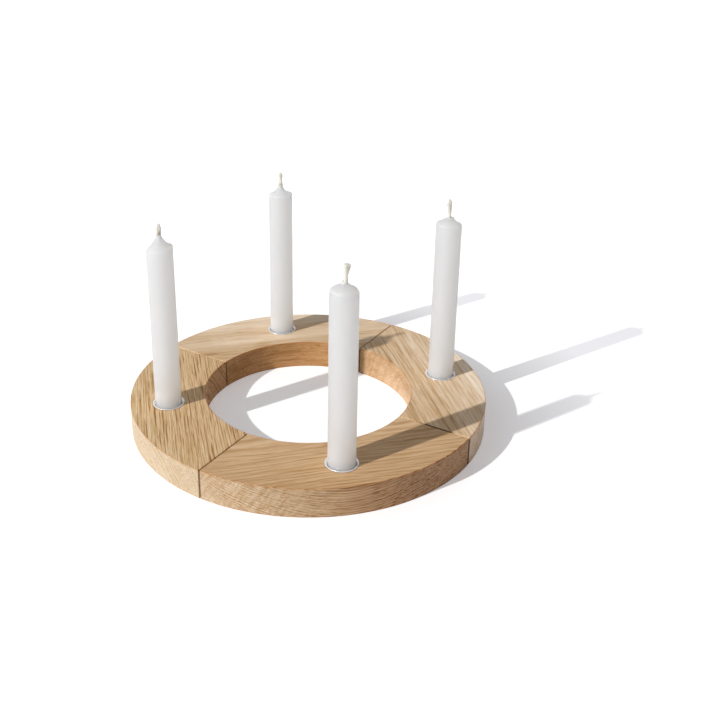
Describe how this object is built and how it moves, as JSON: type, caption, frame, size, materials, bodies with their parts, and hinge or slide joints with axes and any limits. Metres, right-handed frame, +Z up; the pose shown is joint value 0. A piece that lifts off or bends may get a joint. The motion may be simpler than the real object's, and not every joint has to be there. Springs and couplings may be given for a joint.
{
  "type": "advent candle holder",
  "caption": "Low oak ring cut into loose arc segments, each with a flared metal cup that holds a slim white candle.",
  "frame": {"origin": "centre of the ring on the surface that it stands on", "axes": "+Z up along the candles, -Y towards the front segment, +X towards the right segment"},
  "size_m": [0.18, 0.18, 0.1121],
  "materials": {
    "oak": "raw satin",
    "cup_metal": "bright",
    "wax": "satin",
    "cotton": "waxed"
  },
  "bodies": {
    "front_holder": {"segment_front": "oak", "cup_front": "cup_metal"},
    "front_candle": {"candle_front": "wax", "wick_front": "cotton"},
    "right_holder": {"segment_right": "oak", "cup_right": "cup_metal"},
    "right_candle": {"candle_right": "wax", "wick_right": "cotton"},
    "back_holder": {"segment_back": "oak", "cup_back": "cup_metal"},
    "back_candle": {"candle_back": "wax", "wick_back": "cotton"},
    "left_holder": {"segment_left": "oak", "cup_left": "cup_metal"},
    "left_candle": {"candle_left": "wax", "wick_left": "cotton"}
  },
  "joints": [
    {"name": "right_pull", "type": "slide", "parent": "front_holder", "child": "right_holder", "axis": [1, 0, 0], "range_m": [0, 0.04]},
    {"name": "back_pull", "type": "slide", "parent": "front_holder", "child": "back_holder", "axis": [0, 1, 0], "range_m": [0, 0.04]},
    {"name": "left_pull", "type": "slide", "parent": "front_holder", "child": "left_holder", "axis": [-1, 0, 0], "range_m": [0, 0.04]},
    {"name": "front_candle_lift", "type": "slide", "parent": "front_holder", "child": "front_candle", "axis": [0, 0, 1], "range_m": [0, 0.03]},
    {"name": "right_candle_lift", "type": "slide", "parent": "right_holder", "child": "right_candle", "axis": [0, 0, 1], "range_m": [0, 0.03]},
    {"name": "back_candle_lift", "type": "slide", "parent": "back_holder", "child": "back_candle", "axis": [0, 0, 1], "range_m": [0, 0.03]},
    {"name": "left_candle_lift", "type": "slide", "parent": "left_holder", "child": "left_candle", "axis": [0, 0, 1], "range_m": [0, 0.03]}
  ]
}
